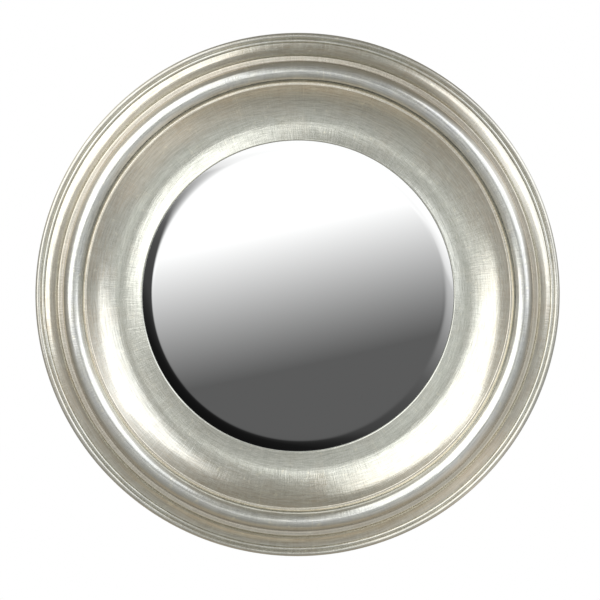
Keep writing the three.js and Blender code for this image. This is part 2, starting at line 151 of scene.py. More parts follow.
def softened(plain, size, longest, closed=False):
    """The outline with its corners eased by the size, and no step on it over the longest."""
    made = eased(plain, size, closed)
    return refined(made + made[:1], longest)[:-1] if closed else refined(made, longest)


def sharp_corners(points, closed):
    """The convex corners of a plain outline and its hollow ones."""
    turns = list(zip(points, bends(points, closed)))
    least = math.radians(28)
    return [p for p, turn in turns if turn > least], [p for p, turn in turns if turn < -least]


def nearness(points, corners, reach):
    """For each point, 1 at a corner, falling away over the reach."""
    gaps = np.linalg.norm(np.array(points)[:, None] - np.array(corners)[None], axis=2)
    return np.exp(-(gaps.min(axis=1) / reach) ** 2)


def moulding_section():
    """Edge beads, cavetto, fillet, big bead, quirk, fillet, scoop and sight edge."""
    foot, top = math.radians(CAVETTO_FOOT), math.radians(CAVETTO_TOP)
    foot_height = FILLET_TOP - 1.0 - CAVETTO * (math.cos(foot) - math.cos(top))
    inner_groove = FRAME_RADIUS - OUTER_BEAD_WIDTH - INNER_BEAD_WIDTH
    cavetto = (inner_groove + CAVETTO * math.sin(foot), foot_height + CAVETTO * math.cos(foot))
    cavetto_top = cavetto[0] - CAVETTO * math.sin(top)
    groove = foot_height - 0.8
    outer, inner = 1 - OUTER_BEAD_WIDTH / OUTER_BEAD, INNER_BEAD_WIDTH / 2 / INNER_BEAD
    outer_end, inner_start = math.degrees(math.acos(outer)), math.degrees(math.acos(inner))
    outer_bead = (FRAME_RADIUS - OUTER_BEAD, groove - OUTER_BEAD * math.sqrt(1 - outer**2))
    inner_bead = (FRAME_RADIUS - OUTER_BEAD_WIDTH - INNER_BEAD_WIDTH / 2,
                  groove - INNER_BEAD * math.sqrt(1 - inner**2))
    big_bead = (cavetto_top - FILLET_SLANT - FILLET_WIDTH - BIG_BEAD, FILLET_TOP)
    quirk = big_bead[0] - BIG_BEAD
    inner_fillet = quirk - QUIRK_WIDTH
    scoop_top = (inner_fillet - INNER_FILLET_WIDTH - INNER_FILLET_DROP,
                 FILLET_TOP - INNER_FILLET_DROP)
    arris = (SIGHT_RADIUS + SIGHT_ARRIS, SIGHT_TOP - SIGHT_ARRIS)
    return without_repeats([
        (FRAME_RADIUS, BACK_RING_THICKNESS),
        *arc(outer_bead, OUTER_BEAD, 0, outer_end, 14),
        *arc(inner_bead, INNER_BEAD, inner_start, 180 - inner_start, 10),
        *arc(cavetto, CAVETTO, -90 - CAVETTO_FOOT, -90 - CAVETTO_TOP, 24),
        (cavetto_top - FILLET_SLANT, FILLET_TOP),
        *[(r, FILLET_TOP + (h - FILLET_TOP) * BIG_BEAD_RISE)
          for r, h in arc(big_bead, BIG_BEAD, 0, 176, 48)],
        (quirk - 0.2, FILLET_TOP - QUIRK_DEPTH),
        (inner_fillet, FILLET_TOP),
        (inner_fillet - INNER_FILLET_WIDTH, FILLET_TOP),
        *dish(SCOOP_LOW, scoop_top, 40)[::-1],
        *dish(SCOOP_LOW, (arris[0], SIGHT_TOP), 12),
        *arc(arris, SIGHT_ARRIS, 90, 180, 8),
        (SIGHT_RADIUS, LIP_BACK),
    ])


def glass_section():
    """The dome's back, the rim, the bevel ground on the front, and the dome's front."""
    front_at_bevel = math.sqrt(DOME_RADIUS**2 - BEVEL_START**2)
    front_at_rim = math.sqrt(DOME_BACK_RADIUS**2 - GLASS_RADIUS**2) + 1.5
    slope = (front_at_bevel - front_at_rim) / (GLASS_RADIUS - BEVEL_START)
    centre = BEVEL_AT_SIGHT - front_at_rim - slope * (GLASS_RADIUS - SIGHT_RADIUS)
    back = [(r, centre + math.sqrt(DOME_BACK_RADIUS**2 - r**2))
            for r in np.linspace(0, GLASS_RADIUS, 40)]
    rim = (GLASS_RADIUS, centre + front_at_rim)
    start = (BEVEL_START, centre + front_at_bevel)
    bevel = []
    for t in np.linspace(0, 1, 40):
        r, h = rim[0] + (start[0] - rim[0]) * t, rim[1] + (start[1] - rim[1]) * t
        shown = min(1, max(0, (SIGHT_RADIUS + 1 - r) / (SIGHT_RADIUS + 1 - BEVEL_START)))
        bevel.append((r, h + 4 * BEVEL_BOW * shown * (1 - shown)))
    front = [(r, centre + math.sqrt(DOME_RADIUS**2 - r**2))
             for r in np.linspace(BEVEL_START, 0, 60)[1:]]
    return back + polished(bevel + front, BEVEL_START, 4.5)


def polished(points, radius, reach):
    """The line with the arris at a radius worn round over the reach, as polishing leaves it."""
    r, h = np.array(points).T
    fine = np.linspace(0, r[0], 1200)
    height = np.interp(fine, r[::-1], h[::-1])
    span = int(reach / (fine[1] - fine[0]))
    weights = np.hanning(2 * span + 1)
    smooth = np.convolve(np.pad(height, span, mode="edge"), weights / weights.sum(), "valid")
    near = np.clip(1 - np.abs(fine - radius) / (2.5 * reach), 0, 1)
    mixed = height + (smooth - height) * np.minimum(1, 2 * near)
    out = np.unique(np.concatenate([r, radius + np.linspace(-2, 2, 33) * reach]))[::-1]
    return [(float(x), float(np.interp(x, fine, mixed))) for x in out if x <= r[0]]


BACK_RING_SECTION = [
    (BOARD_REBATE_RADIUS, 0.0), (BACK_RING_RADIUS - BACK_RING_CHAMFER, 0.0),
    (BACK_RING_RADIUS, BACK_RING_CHAMFER), (BACK_RING_RADIUS, BACK_RING_THICKNESS),
    (REBATE_RADIUS, BACK_RING_THICKNESS), (REBATE_RADIUS, BOARD_THICKNESS),
    (BOARD_REBATE_RADIUS, BOARD_THICKNESS),
]
BOARD_SECTION = [(0.0, 0.0), (BOARD_RADIUS, 0.0), (BOARD_RADIUS, BOARD_THICKNESS),
                 (0.0, BOARD_THICKNESS)]


# ---------------- node trees

class Graph:
    """A node tree under construction."""

    def __init__(self, tree, prefix="ShaderNode"):
        self.tree, self.prefix = tree, prefix

    def node(self, kind, values=None, **settings):
        """A node with its settings, and each input given a value or the socket that feeds it."""
        made = self.tree.nodes.new(kind if "Node" in kind else self.prefix + kind)
        for label, value in settings.items():
            setattr(made, label, value)
        for label, value in (values or {}).items():
            if isinstance(value, bpy.types.NodeSocket):
                self.tree.links.new(value, made.inputs[label])
            else:
                made.inputs[label].default_value = value
        return made

    def first(self, kind, values=None, **settings):
        """The first output of such a node."""
        return self.node(kind, values, **settings).outputs[0]

    def math(self, operation, *values, clamp=False):
        return self.first("ShaderNodeMath", dict(enumerate(values)), operation=operation,
                          use_clamp=clamp)

    def vector(self, operation, *values, **named):
        """Vector maths, of which some operations give a number."""
        made = self.node("VectorMath", {**dict(enumerate(values)), **named}, operation=operation)
        return made.outputs["Value" if operation in ("DOT_PRODUCT", "LENGTH") else "Vector"]

    def ranged(self, value, *ends, kind="LINEAR"):
        """A value carried from one range to another, or to 0 to 1 where one range is given."""
        return self.first("MapRange", dict(enumerate((value, *ends))), interpolation_type=kind)

    def mix(self, amount, first, second):
        """A colour between two, each a colour or a socket."""
        first, second = [(*c, 1) if isinstance(c, tuple) else c for c in (first, second)]
        return self.node("Mix", {"Factor": amount, "A": first, "B": second},
                         data_type="RGBA").outputs["Result"]

    def effect(self, group, **values):
        """What a shader group gives for these inputs."""
        return self.node("Group", values, node_tree=group).outputs


class Group(Graph):
    """A node group under construction, with named inputs and outputs."""

    def __init__(self, name, inputs, outputs, kind="Shader"):
        super().__init__(bpy.data.node_groups.new(name, kind + "NodeTree"), kind + "Node")
        for way, sockets in (("INPUT", inputs), ("OUTPUT", outputs)):
            for label, socket in sockets.items():
                self.tree.interface.new_socket(label, in_out=way,
                                               socket_type="NodeSocket" + socket)
        self.inputs = self.tree.nodes.new("NodeGroupInput").outputs
        self.outputs = self.tree.nodes.new("NodeGroupOutput").inputs

    def give(self, **sockets):
        """Ends the group with what it gives."""
        for label, socket in sockets.items():
            self.tree.links.new(socket, self.outputs[label])
        return self.tree


class Growth(Group):
    """A geometry tree under construction."""

    def __init__(self, name, **inputs):
        super().__init__(name, {**inputs, "Material": "Material"}, {"Geometry": "Geometry"},
                         kind="Geometry")

    def shape(self, label):
        """The geometry of the object given as an input."""
        return self.node("ObjectInfo", {"Object": self.inputs[label]}).outputs["Geometry"]

    def smooth(self, geometry, angle):
        """Smooth shading that keeps the edges sharper than an angle."""
        smooth = self.first("SetShadeSmooth", {"Geometry": geometry, "Shade Smooth": True})
        bend = self.node("InputMeshEdgeAngle").outputs["Unsigned Angle"]
        sharp = self.math("GREATER_THAN", bend, math.radians(angle))
        return self.first("SetShadeSmooth", {"Geometry": smooth, "Selection": sharp,
                                             "Shade Smooth": False}, domain="EDGE")

    def finish(self, geometry):
        """Ends the tree in Realize Instances and Set Material."""
        real = self.first("RealizeInstances", {"Geometry": geometry})
        return self.give(Geometry=self.first("SetMaterial", {
            "Geometry": real, "Material": self.inputs["Material"]}))


def turning_tree():
    """Turns an outline about the mirror's axis."""
    tree = Growth("turned", Section="Object", Middle="Float", Turns="Int")
    profile = tree.first("MeshToCurve", {"Mesh": tree.shape("Section")})
    circle = tree.first("CurvePrimitiveCircle", {"Resolution": tree.inputs["Turns"],
                                                 "Radius": tree.inputs["Middle"]})
    swept = tree.first("CurveToMesh", {"Curve": circle, "Profile Curve": profile})
    upright = tree.first("Transform", {"Geometry": swept, "Rotation": (-math.pi / 2, 0, 0)})
    closed = tree.first("MergeByDistance", {"Geometry": upright, "Distance": 1e-6})
    return tree.finish(tree.smooth(closed, 38))


def repeating_tree():
    """Puts one piece at each of a set of places, each turned about its own axis by chance."""
    tree = Growth("repeated", Piece="Object", Places="Object", Turn="Float", Seed="Int")
    turn = tree.node("FunctionNodeRandomValue", {"Max": tree.inputs["Turn"],
                                                 "Seed": tree.inputs["Seed"]}, data_type="FLOAT")
    about = tree.first("ShaderNodeCombineXYZ", {"Y": turn.outputs["Value"]})
    rotation = tree.first("FunctionNodeEulerToRotation", {"Euler": about})
    return tree.finish(tree.first("InstanceOnPoints", {
        "Points": tree.shape("Places"), "Instance": tree.shape("Piece"), "Rotation": rotation}))


def wire_tree():
    """Draws round wire along a closed line."""
    tree = Growth("wire", Line="Object", Radius="Float")
    path = tree.first("MeshToCurve", {"Mesh": tree.shape("Line")})
    section = tree.first("CurvePrimitiveCircle", {"Resolution": 20,
                                                  "Radius": tree.inputs["Radius"]})
    wire = tree.first("CurveToMesh", {"Curve": path, "Profile Curve": section})
    return tree.finish(tree.smooth(wire, 50))


# ---------------- meshes

def new_mesh(name, points, edges=(), faces=()):
    mesh = bpy.data.meshes.new(name)
    mesh.from_pydata([tuple(p) for p in points], list(edges), [tuple(f) for f in faces])
    return mesh


def new_object(name, data):
    made = bpy.data.objects.new(name, data)
    bpy.context.scene.collection.objects.link(made)
    return made


def chain(count, closed):
    """Edges from each point to the next."""
    return [(i, (i + 1) % count) for i in range(count if closed else count - 1)]


def lattice(numbers, wrap=(0, 0)):
    """Faces between neighbours in a grid of point numbers, which may close on itself each way."""
    grid = np.pad(numbers, [(0, by) for by in wrap], mode="wrap")
    return np.stack([grid[:-1, :-1], grid[:-1, 1:], grid[1:, 1:], grid[1:, :-1]],
                    -1).reshape(-1, 4).tolist()


def section_object(name, points, middle, closed, **masks):
    """An outline as an object for the turning tree, its points measured from the middle radius."""
    mesh = new_mesh(name, [((r - middle) * MM, h * MM, 0) for r, h in points],
                    chain(len(points), closed))
    steps = [0.0] + [math.dist(a, b) * MM for a, b in zip(points, points[1:])]
    for label, values in dict(along=np.cumsum(steps), **masks).items():
        mesh.attributes.new(label, "FLOAT", "POINT").data.foreach_set(
            "value", np.asarray(values, np.float32))
    return new_object(name, mesh)


def plain_mesh(host):
    """What an object's modifiers make of it, as a plain mesh on the same object."""
    graph = bpy.context.evaluated_depsgraph_get()
    graph.update()
    made = bpy.data.meshes.new_from_object(host.evaluated_get(graph), depsgraph=graph)
    host.modifiers.clear()
    host.data = made


def outward(piece):
    """Turns a closed mesh's faces outwards."""
    mesh = piece.data
    mesh.calc_loop_triangles()
    points = np.array([v.co for v in mesh.vertices])
    corners = np.array([t.vertices for t in mesh.loop_triangles])
    a, b, c = points[corners[:, 0]], points[corners[:, 1]], points[corners[:, 2]]
    if np.einsum("ij,ij->i", a, np.cross(b, c)).sum() < 0:
        mesh.flip_normals()
    return piece


def grown(name, group, **values):
    """The plain mesh that a geometry tree makes from these inputs."""
    host = new_object(name, bpy.data.meshes.new(name))
    modifier = host.modifiers.new(group.name, "NODES")
    modifier.node_group = group
    for item in group.interface.items_tree:
        if item.in_out == "INPUT":
            modifier[item.identifier] = values[item.name]
    plain_mesh(host)
    return outward(host)


def discard(*objects):
    for unwanted in objects:
        bpy.data.objects.remove(unwanted)


def turned(name, points, material, middle, closed=False, turns=TURNS, **masks):
    """An outline turned about the mirror's axis, round a circle of the middle radius."""
    section = section_object(name + "_section", points, middle, closed, **masks)
    made = grown(name, TURNING, Section=section, Middle=middle * MM, Turns=turns,
                 Material=material)
    discard(section)
    return made


def repeated(name, piece, places, material, turn=2 * math.pi, seed=1):
    """One mesh of the piece at all the places, which are in mm."""
    spots = new_object(name + "_places", new_mesh(name, [Vector(p) * MM for p in places]))
    made = grown(name, REPEATING, Piece=piece, Places=spots, Turn=turn, Seed=seed,
                 Material=material)
    discard(spots)
    return made


def cut(piece, *cutters):
    """The piece with the cutters taken out of it."""
    for cutter in cutters:
        boolean = piece.modifiers.new("cut", "BOOLEAN")
        boolean.operation = "DIFFERENCE"
        boolean.solver = "EXACT"
        boolean.object = cutter
        plain_mesh(piece)
    discard(*cutters)
    return piece


def smoothed(piece, angle):
    """Smooth shading that keeps the edges sharper than an angle."""
    piece.data.shade_smooth()
    piece.data.set_sharp_from_angle(angle=math.radians(angle))


def around(count, radius, first_degrees):
    """Places round the mirror's axis, anticlockwise from +X as seen in front."""
    angles = [math.radians(first_degrees + 360 * i / count) for i in range(count)]
    return [(radius * math.cos(a), 0.0, radius * math.sin(a)) for a in angles]


def carried(piece, body, slot, *nodes):
    """Puts a finished piece on its body, in place of its solids."""
    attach(piece, body)
    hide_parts(*nodes)


# ---------------- shader groups

LEAF_ROWS = 12.1  # rows of leaf to a metre across the moulding
LEAF_LAP = 0.00055 * LEAF_ROWS


def sockets(vectors="", numbers=""):
    """Kinds of sockets by their names."""
    return {**dict.fromkeys(vectors.split(), "Vector"), **dict.fromkeys(numbers.split(), "Float")}


def ring_position():
    """Position on a turned piece: round it and across it, with no seam."""
    g = Group("ring_position", sockets("Position", "Along"), sockets("Vector", "Turn"))
    split = g.node("SeparateXYZ", {0: g.inputs["Position"]}).outputs
    unit = g.vector("NORMALIZE", g.first("CombineXYZ", {"X": split["X"], "Z": split["Z"]}))
    along = g.first("CombineXYZ", {"Y": g.inputs["Along"]})
    angle = g.math("ARCTAN2", split["Z"], split["X"])
    return g.give(Vector=g.vector("ADD", g.vector("SCALE", unit, Scale=0.25), along),
                  Turn=g.math("MULTIPLY_ADD", angle, 1 / (2 * math.pi), 0.5))


def streaks():
    """Fine lines: noise drawn out by a different scale along each direction."""
    g = Group("streaks", sockets("Vector Scale", "Contrast"), sockets("", "Value"))
    drawn = g.vector("MULTIPLY", g.inputs["Vector"], g.inputs["Scale"])
    noise = g.first("TexNoise", {"Vector": drawn, "Scale": 1.0, "Detail": 3.0, "Roughness": 0.62})
    scaled = g.math("MULTIPLY", g.math("SUBTRACT", noise, 0.5), g.inputs["Contrast"])
    return g.give(Value=g.math("ADD", scaled, 0.5, clamp=True))


def patches():
    """Soft uneven patches, from 0 to 1."""
    g = Group("patches", sockets("Vector", "Scale Low High"), sockets("", "Value"))
    noise = g.first("TexNoise", {"Vector": g.inputs["Vector"], "Scale": g.inputs["Scale"],
                                 "Detail": 4.0, "Roughness": 0.55})
    return g.give(Value=g.ranged(noise, g.inputs["Low"], g.inputs["High"], kind="SMOOTHSTEP"))


def leaf_sheets():
    """Square sheets of leaf laid round a ring in rows: a tone for each, and where they lap."""
    g = Group("leaf_sheets", sockets("Vector", "Turn Along Sheets"), sockets("", "Tone Lap"))
    sheets = g.inputs["Sheets"]
    wander = g.first("TexNoise", {"Vector": g.inputs["Vector"], "Scale": 55.0, "Detail": 3.0})
    drift = g.math("MULTIPLY_ADD", wander, 0.07, -0.035)

    def chance(number):
        return g.node("TexWhiteNoise", {"W": number}, noise_dimensions="1D").outputs["Value"]

    row_at = g.math("MULTIPLY_ADD", g.inputs["Along"], LEAF_ROWS, drift)
    row = g.math("FLOOR", row_at)
    sheet_at = g.math("MULTIPLY_ADD", g.math("ADD", g.inputs["Turn"], chance(row)), sheets, drift)
    whole = g.math("MODULO", g.math("FLOOR", sheet_at), sheets)
    lines = [g.ranged(g.math("PINGPONG", place, 0.5), 0.0, LEAF_LAP, 1.0, 0.0)
             for place in (sheet_at, row_at)]
    line = g.math("MULTIPLY", g.math("MULTIPLY_ADD", lines[1], 0.5, lines[0]),
                  g.ranged(wander, 0.42, 0.6))
    return g.give(Tone=chance(g.math("MULTIPLY_ADD", row, 37.0, whole)),
                  Lap=g.math("MINIMUM", line, 1.0))


def specks():
    """Small scattered specks, from 0 to 1."""
    g = Group("specks", sockets("Vector", "Scale Share"), sockets("", "Value"))
    cells = g.node("TexVoronoi", {"Vector": g.inputs["Vector"], "Scale": g.inputs["Scale"]})
    chosen = g.math("LESS_THAN", g.first("SeparateColor", {0: cells.outputs["Color"]}),
                    g.inputs["Share"])
    return g.give(Value=g.math("MULTIPLY", chosen,
                               g.ranged(cells.outputs["Distance"], 0.3, 0.12)))


# ---------------- materials

class Finish(Graph):
    """A material under construction round one Principled shader."""

    def __init__(self, name, color, roughness, metallic=0.0):
        self.material = bpy.data.materials.new(name)
        self.material.use_nodes = True
        super().__init__(self.material.node_tree)
        self.shader = self.tree.nodes["Principled BSDF"]
        self.shader.inputs["Base Color"].default_value = (*color, 1)
        self.shader.inputs["Roughness"].default_value = roughness
        self.shader.inputs["Metallic"].default_value = metallic
        self.place = self.node("TexCoord").outputs["Object"]

    def attribute(self, name):
        return self.node("Attribute", attribute_name=name).outputs["Fac"]

    def ring(self):
        """Takes the effects' place round the piece and across it, and gives its turn."""
        ring = self.effect(RING_POSITION, Position=self.place, Along=self.attribute("along"))
        self.place = ring["Vector"]
        return ring["Turn"]

    def streaks(self, scale, contrast, place=None):
        return self.effect(STREAKS, Vector=place or self.place, Scale=scale,
                           Contrast=contrast)["Value"]

    def patches(self, scale, low, high, place=None):
        return self.effect(PATCHES, Vector=place or self.place, Scale=scale, Low=low,
                           High=high)["Value"]

    def specks(self, scale, share):
        return self.effect(SPECKS, Vector=self.place, Scale=scale, Share=share)["Value"]

    def feed(self, label, socket):
        self.tree.links.new(socket, self.shader.inputs[label])

    def colour(self, base, *layers):
        """A base colour under others, each (mask, strength, colour)."""
        for mask, strength, over in layers:
            amount = mask if strength == 1 else self.math("MULTIPLY", mask, strength)
            base = self.mix(amount, base, over)
        self.feed("Base Color", base)

    def roughness(self, base, *masks):
        """A base roughness and what each (mask, strength) adds to it."""
        for mask, strength in masks:
            base = self.math("MULTIPLY_ADD", mask, strength, base)
        self.feed("Roughness", base)

    def bumps(self, *layers):
        """Bumps one on another, each (height, strength, distance in mm). Gives the material."""
        normal = None
        for height, strength, distance in layers:
            bump = self.node("Bump", {"Height": height, "Strength": strength,
                                      "Distance": distance * MM})
            if normal:
                self.tree.links.new(normal, bump.inputs["Normal"])
            normal = bump.outputs[0]
        self.feed("Normal", normal)
        return self.material


def silver_leaf():
    """Champagne silver leaf, brushed and lacquered, rubbed through to cream on the arrises, with
    painted highlights there and over the quirk, painted shade in the grooves and steps, and
    painted warm and cool reflections.
    """
    f = Finish("silver_leaf", (0.67, 0.66, 0.605), 0.2, metallic=1.0)
    turn = f.ring()
    sheets = f.effect(LEAF_SHEETS, Vector=f.place, Turn=turn, Along=f.attribute("along"),
                      Sheets=19.0)
    brushed = f.streaks((620, 55, 620), 2.4)
    drawn = f.streaks((28, 420, 28), 3.4)
    hairs = f.streaks((70, 760, 70), 3.0)
    cloud = f.patches(24.0, 0.35, 0.7)
    haze = f.patches(9.0, 0.3, 0.75)
    fleck = f.patches(120.0, 0.60, 0.74)
    mottle = f.patches(70.0, 0.44, 0.66)
    # Warm glaze on the leaf, with a painted reflection of the warm floor in it.
    glaze = f.math("MULTIPLY_ADD", f.math("SUBTRACT", cloud, 0.5), 0.4, f.attribute("glaze"),
                   clamp=True)
    # Painted shade in the grooves and hollows, with a little grime.
    grime_and_painted_shade = f.math("MULTIPLY", f.attribute("groove"),
                   f.math("MULTIPLY_ADD", haze, 0.2, 0.6), clamp=True)
    # Cream where the leaf is rubbed through, with painted highlights on the arrises and painted
    # light over the quirk.
    rub_and_painted_highlight = f.math("MULTIPLY", f.attribute("arris"),
                 f.math("MULTIPLY_ADD", haze, 0.15, 0.75), clamp=True)
    f.colour((0.645, 0.67, 0.60),
             # A lighter, cooler tint on the beads: painted reflection of cool light.
             (f.attribute("cool"), 1, (0.67, 0.69, 0.72)),
             (glaze, 1, (0.70, 0.61, 0.475)),
             (sheets["Tone"], 0.28, (0.51, 0.53, 0.47)),
             (mottle, 0.30, (0.82, 0.835, 0.73)),
             (drawn, 0.50, (0.40, 0.41, 0.365)),
             (hairs, 0.46, (0.915, 0.925, 0.87)),
             (brushed, 0.24, (0.88, 0.89, 0.83)),
             (fleck, 0.55, (0.93, 0.91, 0.77)),
             (sheets["Lap"], 0.5, (0.92, 0.89, 0.76)),
             # Painted shade: warm brown darkening on the steps and flanks.
             (f.attribute("shade"), 0.55, (0.38, 0.335, 0.27)),
             (grime_and_painted_shade, 1, (0.26, 0.22, 0.19)),
             (rub_and_painted_highlight, 1, (1.0, 0.95, 0.83)))
    f.roughness(0.11, (brushed, 0.06), (drawn, 0.05), (sheets["Tone"], 0.04), (grime_and_painted_shade, 0.3),
                (rub_and_painted_highlight, 0.10))
    # The polished glass looks past the sight edge beside it, into the room.
    sides = f.math("MAXIMUM", f.attribute("sight"), f.node("NewGeometry").outputs["Backfacing"])
    passed = f.math("MULTIPLY", sides, f.node("LightPath").outputs["Is Singular Ray"])
    f.feed("Alpha", f.math("SUBTRACT", 1.0, passed, clamp=True))
    return f.bumps((haze, 0.4, 0.45), (brushed, 0.8, 0.034), (drawn, 1.0, 0.030),
                   (hairs, 0.8, 0.014), (sheets["Lap"], 0.6, 0.015))


def mirror_silver():
    """The silvered dome, with a little dust on it."""
    silver = (0.95, 0.955, 0.955)
    f = Finish("mirror_silver", silver, 0.0, metallic=1.0)
    f.colour(silver, (f.specks(900.0, 0.012), 0.12, (0.80, 0.79, 0.76)))
    return f.material


def backing_paint():
    """The grey paint over the silvering, and the ground edge of the glass."""
    f = Finish("backing_paint", (0.16, 0.165, 0.17), 0.55)
    cloud = f.patches(40.0, 0.3, 0.7)
    f.colour((0.14, 0.145, 0.15), (cloud, 1, (0.19, 0.195, 0.2)))
    return f.bumps((cloud, 0.3, 0.05))


def black_board():
    """Fibreboard under satin black paint, brushed round and worn thin at its edges."""
    f = Finish("black_board", (0.032, 0.031, 0.030), 0.5)
    place = f.place
    f.ring()
    strokes = f.streaks((14, 420, 14), 1.5)
    fibre = f.streaks((900, 900, 900), 1.4, place)
    worn = f.math("MULTIPLY", f.attribute("arris"), f.patches(60.0, 0.52, 0.66, place),
                  clamp=True)
    f.colour((0.026, 0.025, 0.024), (strokes, 1, (0.045, 0.043, 0.041)),
             (worn, 1, (0.23, 0.15, 0.085)))
    f.roughness(0.42, (strokes, 0.16))
    return f.bumps((strokes, 0.5, 0.05), (fibre, 0.35, 0.03))


def hardboard():
    """Pressed hardboard, smooth side out, with its dark fibres and a few rubs."""
    f = Finish("hardboard", (0.22, 0.13, 0.07), 0.5)
    fibre = f.streaks((420, 900, 1150), 2.0)
    cross = f.streaks((1200, 900, 380), 2.0)
    cloud = f.patches(12.0, 0.3, 0.72)
    f.colour((0.185, 0.105, 0.055), (cloud, 1, (0.255, 0.155, 0.085)),
             (fibre, 0.5, (0.13, 0.07, 0.035)), (cross, 0.28, (0.34, 0.22, 0.125)),
             (f.specks(420.0, 0.10), 0.7, (0.07, 0.038, 0.02)))
    f.roughness(0.38, (f.streaks((9, 10, 260), 2.4), 0.2))
    return f.bumps((cloud, 0.2, 0.2), (fibre, 0.5, 0.03), (cross, 0.4, 0.02))


def zinc_steel():
    """Zinc-plated steel, with fine scratches and a dull bloom."""
    f = Finish("zinc_steel", (0.60, 0.60, 0.585), 0.34, metallic=1.0)
    scratch = f.streaks((5200, 900, 260), 2.2)
    bloom = f.patches(240.0, 0.35, 0.68)
    f.colour((0.64, 0.645, 0.635), (bloom, 1, (0.50, 0.50, 0.47)),
             (scratch, 0.22, (0.78, 0.78, 0.77)))
    f.roughness(0.28, (bloom, 0.14), (scratch, 0.08))
    return f.bumps((scratch, 0.3, 0.01), (bloom, 0.3, 0.03))


def black_steel():
    """Black phosphated screws, rubbed bright here and there."""
    f = Finish("black_steel", (0.05, 0.05, 0.05), 0.45, metallic=0.7)
    grain = f.streaks((3000, 3000, 3000), 1.5)
    f.colour((0.045, 0.045, 0.048), (f.patches(900.0, 0.55, 0.75), 0.5, (0.25, 0.245, 0.235)))
    f.roughness(0.34, (grain, 0.2))
    return f.bumps((grain, 0.4, 0.01))


def black_rubber():
    """Matt black rubber with a little dust."""
    f = Finish("black_rubber", (0.028, 0.028, 0.030), 0.8)
    grain = f.streaks((2600, 2600, 2600), 1.4)
    f.colour((0.024, 0.024, 0.026), (f.patches(160.0, 0.4, 0.7), 1, (0.042, 0.041, 0.041)),
             (f.specks(1500.0, 0.09), 0.6, (0.16, 0.155, 0.15)))
    f.roughness(0.72, (grain, 0.16))
    return f.bumps((grain, 0.4, 0.02))


def felt():
    """Dark grey felt strip, which the polished glass looks past too."""
    f = Finish("felt", (0.08, 0.08, 0.08), 0.95)
    fuzz = f.streaks((1700, 1700, 1700), 2.2)
    f.colour((0.055, 0.055, 0.056), (fuzz, 1, (0.12, 0.118, 0.115)))
    f.feed("Alpha", f.math("SUBTRACT", 1.0, f.node("LightPath").outputs["Is Singular Ray"]))
    return f.bumps((fuzz, 0.8, 0.2))


def card():
    """Raw fibreboard strip."""
    f = Finish("card", (0.6, 0.57, 0.5), 0.9)
    fibre = f.streaks((700, 1500, 700), 1.9)
    f.colour((0.52, 0.48, 0.40), (fibre, 1, (0.66, 0.63, 0.56)))
    return f.bumps((fibre, 0.5, 0.05))


# ---------------- turned pieces

# By radius: how much warm glaze, with a painted reflection of the warm floor, the leaf has, how
# much painted reflection of cool light, and how much painted shade.
LEAF_GLAZE_AND_PAINTED_LIGHT = np.array([(181, 0.00, 0.1, 0.00), (205, 0.10, 0.0, 0.00), (228, 0.55, 0.0, 0.00),
                  (245, 0.95, 0.0, 0.15), (250, 0.70, 0.1, 0.25), (255, 0.10, 0.8, 0.00),
                  (262, 0.00, 1.0, 0.00), (265, 0.10, 0.9, 0.20), (268, 0.50, 0.5, 0.75),
                  (272, 0.90, 0.1, 1.00), (276, 1.00, 0.0, 0.60), (283, 1.00, 0.0, 0.30),
                  (287, 1.00, 0.0, 0.00), (292, 0.85, 0.0, 0.00), (295, 0.45, 0.5, 0.00),
                  (300, 0.35, 0.6, 0.25), (305, 0.45, 0.5, 0.45)]).T


def face_materials(piece, second, chosen):
    """Gives the faces that are chosen by their middle and normal the second material."""
    piece.data.materials.append(second)
    for face in piece.data.polygons:
        if chosen(face.center, face.normal):
            face.material_index = 1


def make_moulding():
    plain = moulding_section()
    outline = softened(plain, 0.45, 1.3)
    convex, hollow = sharp_corners(plain, closed=False)
    fillets = [corner for corner in convex if 240 < corner[0] < 285]
    edge = [corner for corner in hollow if corner[0] > 285]
    foot = [corner for corner in hollow if 255 < corner[0] <= 285]
    sight = [1.0 if r < SIGHT_RADIUS + 1.6 else 0.0 for r, _ in outline] + [1.0, 1.0]
    outline += [(REBATE_RADIUS, LIP_BACK), (REBATE_RADIUS, BACK_RING_THICKNESS)]
    # Where painted shade, with a little grime, darkens the outer edge's grooves and the hollows of
    # the steps.
    groove = 0.25 * nearness(outline, edge, 0.5) + 0.9 * nearness(outline, foot, 0.45)
    # The arris mask: rubbed fillet edges with painted highlights, a second painted line beside the
    # foot, and painted light lifting the quirk's shade.
    beside = [(foot[0][0] + 1.3, foot[0][1])]
    quirk = [(r, h + 0.8) for r, h in hollow if 245 < r < 255]
    arris = (nearness(outline, fillets, 0.45) + 0.6 * nearness(outline, beside, 0.45)
             + 0.15 * nearness(outline, quirk, 1.3))
    # Warm glaze with painted floor reflection, painted cool reflection and painted shade, by
    # radius.
    glaze, cool, shade = (np.interp([r for r, _ in outline], LEAF_GLAZE_AND_PAINTED_LIGHT[0], row) for row in LEAF_GLAZE_AND_PAINTED_LIGHT[1:])
    moulding = turned("turned_moulding", outline, LEAF, 250, closed=True, arris=arris,
                      groove=groove, shade=shade, glaze=glaze, cool=cool, sight=sight)
    face_materials(moulding, BLACK_BOARD,
                   lambda centre, normal: normal.y > 0.9 and centre.y > -0.0125)
    carried(moulding, "mirror", "silver_leaf", "frame_moulding")


def make_glass():
    glass = turned("bevelled_glass", glass_section(), MIRROR, 95, turns=192)
    face_materials(glass, BACKING_PAINT, lambda centre, normal: normal.y > -0.5)
    carried(glass, "mirror", "mirror_glass", "convex_glass")


def make_board():
    outline = softened(BOARD_SECTION, 0.4, 6.0)
    board = turned("hardboard_disc", outline, HARDBOARD, 100, turns=192)
    carried(board, "mirror", "hardboard", "backing_board")


